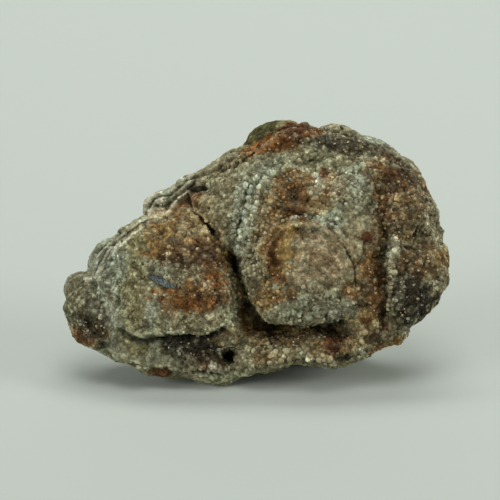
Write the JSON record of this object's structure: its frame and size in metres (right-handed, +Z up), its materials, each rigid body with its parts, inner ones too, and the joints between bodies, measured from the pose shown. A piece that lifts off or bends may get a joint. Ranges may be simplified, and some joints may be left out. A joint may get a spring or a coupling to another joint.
{
  "type": "chalcedony rose",
  "caption": "Lobed chalcedony rose: a flattened natural stone with overlapping drusy petals, beaded ridges and deep clefts, standing on a small flat foot.",
  "frame": {"origin": "on the surface it stands on, under the centre of the bounding box", "axes": "+X along the long side of the face, from its narrow end to its broad end; +Z up; the drusy face looks towards -Y and leans back"},
  "size_m": [0.0546, 0.0238, 0.0356],
  "materials": {
    "drusy_chalcedony": "sparkling drusy crust, grey-cream with rust, amber and black stains"
  },
  "bodies": {
    "root": {"chalcedony_rose": "drusy_chalcedony"}
  },
  "joints": []
}
